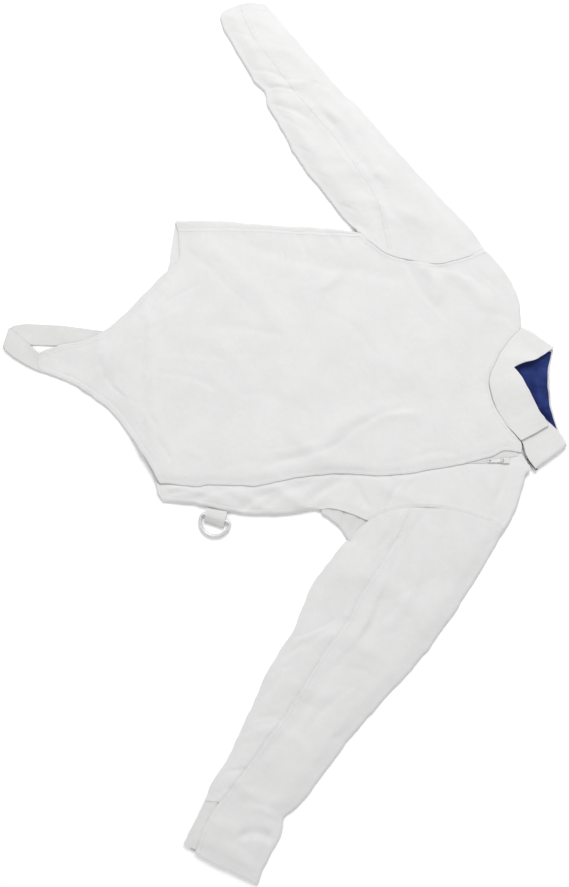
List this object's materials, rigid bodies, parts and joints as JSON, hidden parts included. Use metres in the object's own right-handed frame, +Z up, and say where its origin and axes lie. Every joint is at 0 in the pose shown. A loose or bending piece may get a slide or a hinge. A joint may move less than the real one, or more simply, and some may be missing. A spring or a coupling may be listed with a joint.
{
  "type": "fencing jacket",
  "caption": "White long-sleeved fencing jacket laid flat, with stand collar, side-lapped front zip, pointed front, crotch strap and D-ring.",
  "frame": {"origin": "centre of the laid-out jacket's bounding box, on the surface that it lies on", "axes": "+Z up from the surface, +Y toward the collar, +X toward the wearer's left sleeve; the outside of the front faces +Z"},
  "size_m": [1.3574, 0.852, 0.0187],
  "materials": {
    "cloth": "matte woven white cotton",
    "webbing": "matte white webbing",
    "lining": "soft dark blue knit",
    "elastic": "matte stretch knit",
    "metal": "nickel-plated steel wire",
    "zip": "pale grey zip tape and painted slider"
  },
  "bodies": {
    "jacket": {"front_main": "cloth", "front_left": "cloth", "back_panel": "cloth", "sleeve_right_over": "cloth", "sleeve_right_under": "cloth", "sleeve_left_over": "cloth", "sleeve_left_under": "cloth", "cuff_insert_left": "elastic", "gusset_left": "cloth", "collar_front": "cloth", "collar_back": "cloth", "collar_lining": "lining", "crotch_strap": "webbing", "dring_tab": "webbing", "zip_tape": "zip", "zip_slider": "zip"},
    "ring": {"dring": "metal"},
    "pull": {"zip_pull": "zip"}
  },
  "joints": [
    {"name": "dring_swing", "type": "hinge", "parent": "jacket", "child": "ring", "pos_m": [0.169, -0.0965, 0.0041], "axis": [-0.3256, -0.9455, 0], "range_deg": [0, 115]},
    {"name": "zip_pull_swing", "type": "hinge", "parent": "jacket", "child": "pull", "pos_m": [0.084, 0.3271, 0.0098], "axis": [-1, 0, 0], "range_deg": [0, 120]}
  ]
}
